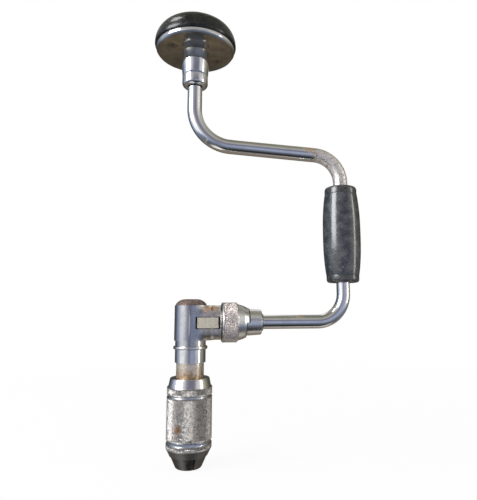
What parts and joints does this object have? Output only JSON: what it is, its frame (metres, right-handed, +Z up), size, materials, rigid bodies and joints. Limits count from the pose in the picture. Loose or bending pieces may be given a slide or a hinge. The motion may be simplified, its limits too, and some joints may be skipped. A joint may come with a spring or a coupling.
{
  "type": "bit brace",
  "caption": "Hand crank brace for turning bits: a pad to push on, a bent rod with a turning grip, a ratchet body with a selector ring, and a two-jaw screw chuck.",
  "frame": {"origin": "centre of the jaws' mouth, on the chuck's axis", "axes": "+Z up along the chuck and head axis, +X from that axis to the grip, -Y the side that the picture shows"},
  "size_m": [0.1777, 0.0696, 0.3635],
  "materials": {
    "pad_plastic": "charcoal moulded plastic, scuffed",
    "grip_plastic": "charcoal moulded plastic, polished by use",
    "bright_chrome": "bright chrome plate, worn in places",
    "satin_nickel": "satin nickel plate with rust spots",
    "rusty_cap_steel": "browned steel with rust specks",
    "knurled_steel": "fine diamond knurl, nickel plated and dulled",
    "bare_steel": "bare machined steel",
    "blackened_steel": "blackened forged steel",
    "spring_steel": "spring wire",
    "polished_balls": "hardened polished balls",
    "bush_bronze": "turned bronze"
  },
  "bodies": {
    "crank_frame": {"crank_rod": "bright_chrome", "head_collar": "bright_chrome", "head_bearing_balls": "polished_balls", "head_washer": "bare_steel", "head_nut": "bare_steel", "ratchet_body": "satin_nickel", "body_cap": "rusty_cap_steel", "spindle_washer": "bright_chrome", "pawl_pin_front": "bare_steel", "pawl_pin_back": "bare_steel", "pawl_spring_front": "spring_steel", "pawl_spring_back": "spring_steel", "detent_ball": "polished_balls", "detent_spring": "spring_steel", "rear_collar": "bright_chrome", "rear_collar_pin": "bare_steel"},
    "head": {"head_pad": "pad_plastic", "head_flange": "bright_chrome", "head_screws": "bare_steel", "head_bush": "bush_bronze"},
    "grip": {"grip_sleeve": "grip_plastic", "grip_bush_bottom": "grip_plastic", "grip_bush_top": "grip_plastic"},
    "chuck": {"chuck_spindle": "satin_nickel", "ratchet_wheel": "bare_steel", "wheel_key": "bare_steel", "spindle_nut": "bare_steel", "jaw_spring": "spring_steel"},
    "selector": {"selector_ring": "knurled_steel"},
    "front_pawl": {"pawl_front": "bare_steel"},
    "back_pawl": {"pawl_back": "bare_steel"},
    "shell_carrier": {"jaw_retaining_ring": "spring_steel"},
    "shell": {"chuck_shell": "knurled_steel"},
    "left_jaw": {"jaw_b": "blackened_steel"},
    "right_jaw": {"jaw_a": "blackened_steel"}
  },
  "joints": [
    {"name": "head_spin", "type": "hinge", "parent": "crank_frame", "child": "head", "pos_m": [0, 0, 0.33], "axis": [0, 0, 1], "continuous": true},
    {"name": "grip_spin", "type": "hinge", "parent": "crank_frame", "child": "grip", "pos_m": [0.127, 0, 0.18], "axis": [0, 0, 1], "continuous": true},
    {"name": "chuck_spin", "type": "hinge", "parent": "crank_frame", "child": "chuck", "pos_m": [0, 0, 0.09], "axis": [0, 0, 1], "continuous": true},
    {"name": "selector_turn", "type": "hinge", "parent": "crank_frame", "child": "selector", "pos_m": [0.03, 0, 0.1082], "axis": [-1, 0, 0], "range_deg": [0, 70]},
    {"name": "front_pawl_rock", "type": "hinge", "parent": "crank_frame", "child": "front_pawl", "pos_m": [0.0165, -0.0102, 0.1083], "axis": [0, 0, 1], "range_deg": [0, 10]},
    {"name": "back_pawl_rock", "type": "hinge", "parent": "crank_frame", "child": "back_pawl", "pos_m": [0.0165, 0.0102, 0.1083], "axis": [0, 0, 1], "range_deg": [0, 10]},
    {"name": "shell_travel", "type": "slide", "parent": "chuck", "child": "shell_carrier", "axis": [0, 0, -1], "range_m": [0, 0.00275]},
    {"name": "shell_turn", "type": "hinge", "parent": "shell_carrier", "child": "shell", "pos_m": [0, 0, 0.03], "axis": [0, 0, -1], "range_deg": [0, 396]},
    {"name": "right_jaw_open", "type": "slide", "parent": "chuck", "child": "right_jaw", "axis": [0.9511, 0.309, 0], "range_m": [0, 0.00127]},
    {"name": "left_jaw_open", "type": "slide", "parent": "chuck", "child": "left_jaw", "axis": [-0.9511, -0.309, 0], "range_m": [0, 0.00127]}
  ],
  "couplings": [
    {"joint": "front_pawl_rock", "follows": "selector_turn", "ratio": 0.14286},
    {"joint": "back_pawl_rock", "follows": "selector_turn", "ratio": 0.14286},
    {"joint": "shell_travel", "follows": "shell_turn", "m_per_rad": 0.00039789},
    {"joint": "right_jaw_open", "follows": "shell_turn", "m_per_rad": 0.00018303},
    {"joint": "left_jaw_open", "follows": "shell_turn", "m_per_rad": 0.00018303}
  ]
}
